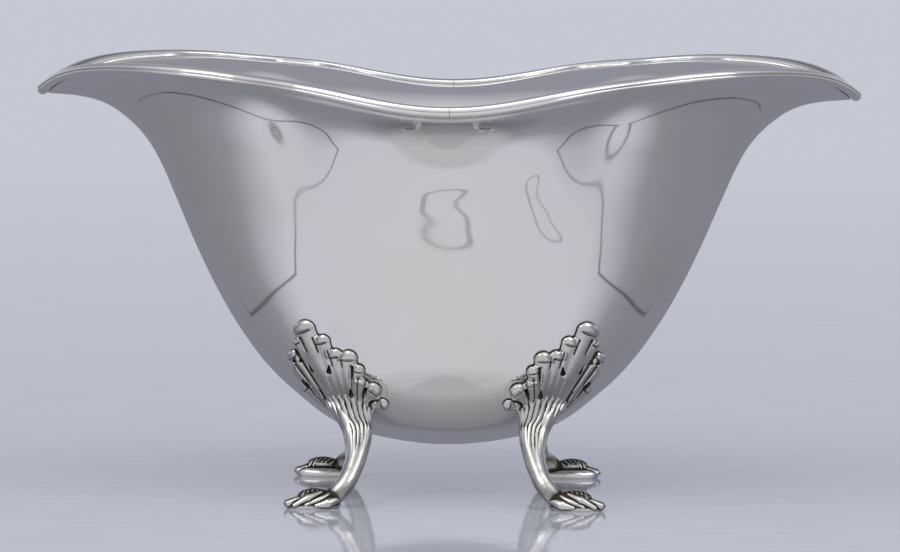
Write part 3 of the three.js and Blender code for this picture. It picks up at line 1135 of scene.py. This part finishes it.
def cast_silver():
    """Cast silver with bright worn tops, black patina in its recesses and painted shadow at the joint."""
    finish = Finish("cast_silver")
    nodes = finish.nodes
    recess = finish.recess()
    grain = nodes.noise(finish.place, *GRAIN, GRAIN_ROUGHNESS)
    blotch = nodes.noise(finish.place, *BLOTCH)
    dark = recess * RECESS_DARK + (grain - 0.5) * GRAIN_DARK * recess + (blotch - 0.5) * BLOTCH_DARK
    dark = dark.clipped(*DARK_RANGE)
    silver = nodes.mix(blotch.clipped(*BLOTCH_RANGE), CAST_BRIGHT, CAST_DULL)
    # The dark colour is tarnish in hollows and painted shadow where the legs meet the bowl
    tarnish_and_shadow = nodes.mix(grain.clipped(*GRAIN_RANGE), TARNISH_AND_SHADOW_BLACK, TARNISH_AND_SHADOW_BROWN)
    base = nodes.mix(dark, silver, tarnish_and_shadow)
    rough = CAST_ROUGHNESS + blotch.clipped(*BLOTCH_DULLED) * BLOTCH_DULL + dark * TARNISH_DULL
    bump = finish.bump(CAST_BUMP, BUMP_DISTANCE, grain * (GRAIN_DEPTH + dark) + blotch * BLOTCH_DEPTH)
    finish.set(Base_Color=base, Metallic=1.0, Roughness=rough, Normal=bump)
    return finish.material


# Studio

# Tent that the silver reflects: a pale screen in front that darkens to the sides. Tones go by the
# angle from the front in degrees, and heights by the upward part of a direction.
SCREEN_TURN = math.radians(5)
SCREEN_TONES = ((0, 0.6), (54, 0.58), (68, 0.43), (82, 0.26), (97, 0.22), (120, 0.21), (180, 0.22))
SCREEN_TINT = (1, 1.015, 1.07)
SIDE_BLUE = 900
LEAN_HEIGHT = 0.35
SCREEN_LEAN = 0.85
UNDER_EDGE = (-0.94, -0.9)
UNDER_FADE = (-0.08, 0.4)
UNDER_FRONT = (0.5, 0.505, 0.53, 1.0)
UNDER_BACK = (0.33, 0.335, 0.37, 1.0)
ROOF_FADE = (0.1, 0.8)
ROOF_FRONT = (0.95, 0.96, 0.98, 1.0)
ROOF_SIDE = (0.8, 0.81, 0.85, 1.0)
ROOF_STEP = 0.01
SEAM_AZIMUTH = math.radians(58)
SEAM_WIDTH = (0.006, 0.02)
SEAM_START = (0.0, 0.1)
SEAM_DARKNESS = 0.8
SEAM_TONE = (0.1, 0.1, 0.12, 1.0)
BACKDROP = (0.56, 0.58, 0.65, 1.0)
BACKDROP_SIDES = (-0.15, 0.35)
BACKDROP_FOOT = (-0.02, 0.0)
BACKDROP_FADE = (0.08, 0.5)
HIGH_BACKDROP = (0.25, 0.255, 0.31, 1.0)

# Lamps: name, place, size and power
LAMP_AIM = (0, 0, 0.05)
LAMPS = (
    ("key", (-0.9, -1.1, 1.2), (1.2, 0.9), 5),
    ("fill", (1.1, -0.8, 0.9), (1.0, 0.8), 3),
    ("top", (0, -0.5, 1.5), (1.6, 0.4), 3),
)

# Paper under the table that only reflections show: thin dark edges, two loops, and the bowl's shadow on
# the table, painted as an oval and a small arch. A loop has a middle, half length, half width and turn.
PAPER_DEPTH = 0.05
PAPER_HALF_WIDTH = 0.165
PAPER_BEND = 0.085
PAPER_FADE = 0.02
PAPER_LINE = (0.001, 0.003)
PAPER_DARKNESS = 0.75
LOOPS = (
    ((-0.005, -0.182), 0.034, 0.009, 0.12),
    ((0.15, -0.19), 0.018, 0.016, 1.3),
)
LOOP_LINE = (0.1, 0.16)
LOOP_DARKNESS = 0.4
# Painted shadow of the bowl on the table, as reflections would see it: an oval and a small arch
SHADE_HALVES = (0.075, 0.033)
SHADE_FADE = (0.3, 1.8)
SHADE_DARKNESS = 0.42
SHADE_BACK = (0.0, 0.03)
ARCH_HALVES = (0.033, 0.061)
ARCH_FADE = (0.9, 1.05)
ARCH_DARKNESS = 0.14
# Colour of the paper's edges and of the painted shadow
PAPER_INK_AND_SHADOW = (0.02, 0.02, 0.03, 1.0)

# Table
TABLE_RADIUS = 1.6
TABLE_SIDES = 96
TABLE_FADE = (0.3, 1.25)
TABLE_LIGHT = (0.59, 0.61, 0.68, 1.0)
TABLE_ROUGHNESS = 0.07
TABLE_REFRACTION = 1.5
TABLE_BUMP = 0.05
SPECKLE = (60.0, 3.0)
SPECKLE_RANGE = (0.3, 0.7)
RIPPLES = (40.0, 2.0)
RIPPLE_STRETCH = (1, 3, 1)
RIPPLE_DISTANCE = 0.001

# Camera: lens in millimetres, angles in degrees, places in metres
LENS = 220
SENSOR = 36
NEAREST = 0.05
AZIMUTH = 0.5
PITCH = 4.66
ROLL = 0.45
ASIDE = 0.0005
DISTANCE = 1.2015
EYE_HEIGHT = 0.1457


def studio():
    """A pale tent: light in front, greyer at the sides, with a dark seam between."""
    world = bpy.data.worlds.new("studio")
    bpy.context.scene.world = world
    world.use_nodes = True
    nodes = Nodes(world.node_tree)
    way = nodes.add("ShaderNodeTexCoord", output=0)
    across, along, height = (nodes.part(way, axis) for axis in range(3))
    front = nodes.add("ShaderNodeMath", {"operation": "ARCTAN2"}, {0: across, 1: along * -1.0})
    aside = (front + SCREEN_TURN).size()
    red, green, blue = SCREEN_TINT
    stops = []
    for angle, tone in SCREEN_TONES:
        stops.append((angle / 180, colour(tone * red, tone * green, tone * (blue + angle / SIDE_BLUE))))
    lean = (height + LEAN_HEIGHT).at_most(0.0) * SCREEN_LEAN
    screen = nodes.add("ShaderNodeValToRGB", {"stops": stops}, {"Fac": (aside + lean) * (1 / math.pi)})
    under = nodes.mix(along.clipped(*UNDER_FADE), UNDER_FRONT, UNDER_BACK)
    screen = nodes.mix(1 - height.clipped(*UNDER_EDGE), screen, under)
    beside = aside.clipped(SEAM_AZIMUTH - ROOF_STEP, SEAM_AZIMUTH + ROOF_STEP)
    above = nodes.mix(beside, ROOF_FRONT, ROOF_SIDE)
    tent = nodes.mix(height.clipped(*ROOF_FADE), screen, above)
    seam = 1 - (aside - SEAM_AZIMUTH).size().clipped(*SEAM_WIDTH)
    tent = nodes.mix(seam * height.clipped(*SEAM_START) * SEAM_DARKNESS, tent, SEAM_TONE)
    behind = along.clipped(*BACKDROP_SIDES) * height.clipped(*BACKDROP_FOOT)
    tent = nodes.mix(behind, tent, nodes.mix(height.clipped(*BACKDROP_FADE), BACKDROP, HIGH_BACKDROP))
    seen = nodes.add("ShaderNodeLightPath", output="Is Camera Ray")
    light = nodes.mix(seen, tent, BACKDROP)
    nodes.feed(world.node_tree.nodes["Background"].inputs["Color"], light)


def softbox(name, place, size, power):
    """A soft rectangular lamp that points at the bowl."""
    lamp = bpy.data.lights.new(name, "AREA")
    lamp.shape = "RECTANGLE"
    lamp.size, lamp.size_y = size
    lamp.energy = power
    held = placed(name, lamp)
    held.location = place
    held.rotation_euler = (Vector(LAMP_AIM) - Vector(place)).to_track_quat("-Z", "Y").to_euler()


def disc(name, height):
    """A round sheet of the table's size, which is no part of the bowl."""
    turns = np.arange(TABLE_SIDES) * math.tau / TABLE_SIDES
    rim = np.stack([np.cos(turns), np.sin(turns), np.zeros(TABLE_SIDES)], -1) * TABLE_RADIUS
    points = np.vstack([(0, 0, 0), rim]) + (0, 0, height)
    faces = [(0, i + 1, (i + 1) % TABLE_SIDES + 1) for i in range(TABLE_SIDES)]
    piece = mesh_piece(name, points / MM, faces)
    return piece


def oval(x, y, half_length, half_width):
    """How far out a place is: 1 on the edge of an oval, 0 in its middle."""
    return ((x * (1 / half_length)) ** 2 + (y * (1 / half_width)) ** 2) ** 0.5


def table_top():
    """A pale table that fades into the backdrop."""
    piece = disc("table_top", 0)
    piece.visible_glossy = False
    finish = Finish("table")
    nodes = finish.nodes
    x, y = (nodes.part(finish.place, axis) for axis in range(2))
    speckle = nodes.noise(finish.place, *SPECKLE)
    tone = nodes.mix(speckle.clipped(*SPECKLE_RANGE), BACKDROP, TABLE_LIGHT)
    fade = 1 - ((x * x + y * y) ** 0.5).clipped(*TABLE_FADE)
    ripples = nodes.noise(nodes.stretched(finish.place, (0, 0, 0), RIPPLE_STRETCH), *RIPPLES)
    bump = finish.bump(TABLE_BUMP, RIPPLE_DISTANCE, ripples)
    finish.set(Base_Color=tone, Roughness=TABLE_ROUGHNESS, IOR=TABLE_REFRACTION, Alpha=fade, Normal=bump)
    piece.data.materials.append(finish.material)


def reflected_paper_and_shadow():
    """The dark edges of paper sheets under the table and the bowl's painted shadow, for reflections only.
    """
    piece = disc("reflected_paper_and_shadow", -PAPER_DEPTH)
    piece.visible_camera = False
    piece.visible_diffuse = False
    piece.visible_shadow = False
    finish = Finish("paper_edges_and_painted_shadow")
    nodes = finish.nodes
    x, y = (nodes.part(finish.place, axis) for axis in range(2))
    beyond = x.size() - (y.size() - PAPER_BEND).at_least(0.0) - PAPER_HALF_WIDTH
    fade = 1 - y.clipped(PAPER_BEND, PAPER_BEND + PAPER_FADE)
    edge = (1 - beyond.size().clipped(*PAPER_LINE)) * fade * PAPER_DARKNESS
    for (middle_x, middle_y), half_length, half_width, turn in LOOPS:
        along = (x - middle_x) * math.cos(turn) + (y - middle_y) * math.sin(turn)
        across = (y - middle_y) * math.cos(turn) - (x - middle_x) * math.sin(turn)
        ring = oval(along, across, half_length, half_width) - 1.0
        edge = edge.at_least((1 - ring.size().clipped(*LOOP_LINE)) * LOOP_DARKNESS)
    # Painted shadow below the bowl: an oval and a small arch, fading towards the back
    front = 1 - y.clipped(*SHADE_BACK)
    shade = 1 - (oval(x, y, *SHADE_HALVES) ** 2).clipped(*SHADE_FADE)
    arch = 1 - (oval(x, y, *ARCH_HALVES) ** 2).clipped(*ARCH_FADE)
    edge = edge.at_least(shade * front * SHADE_DARKNESS).at_least(arch * front * ARCH_DARKNESS)
    finish.set(Base_Color=PAPER_INK_AND_SHADOW, Specular_IOR_Level=0.0, Roughness=1.0, Alpha=edge)
    piece.data.materials.append(finish.material)


def camera():
    """A long lens in front of the bowl, a little above its lip."""
    lens = bpy.data.cameras.new("camera")
    lens.sensor_width = SENSOR
    lens.sensor_fit = "HORIZONTAL"
    lens.lens = LENS
    lens.clip_start = NEAREST
    held = placed("camera", lens)
    turn = Matrix.Rotation(math.radians(AZIMUTH), 4, "Z")
    place = Matrix.Translation((ASIDE, -DISTANCE, EYE_HEIGHT))
    tilt = Matrix.Rotation(math.radians(90 - PITCH), 4, "X")
    roll = Matrix.Rotation(math.radians(ROLL), 4, "Z")
    held.matrix_world = turn @ place @ tilt @ roll
    bpy.context.scene.camera = held


# Assembly

camera()
studio()
for lamp in LAMPS:
    softbox(*lamp)
table_top()
reflected_paper_and_shadow()

finishes = {
    "bowl": (polished_silver("polished_sheet", SHEET_TINT, SHEET_ROUGHNESS), "bowl_silver"),
    "rim": (polished_silver("polished_wire", WIRE_TINT, WIRE_ROUGHNESS, grooved=True), "rim_silver"),
    "leg": (cast_silver(), "cast_silver"),
}
pieces = {
    "bowl_body": bowl_piece(),
    "rim_wire_right": wire_piece("moulded_wire_right", 1),
    "rim_wire_left": wire_piece("moulded_wire_left", -1),
    **leg_pieces(),
}
for node, piece in pieces.items():
    finish, slot = finishes[node.split("_")[0]]
    piece.data.materials.append(finish)
    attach(piece, "root")
    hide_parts(node)

bpy.context.scene.view_settings.view_transform = "Standard"
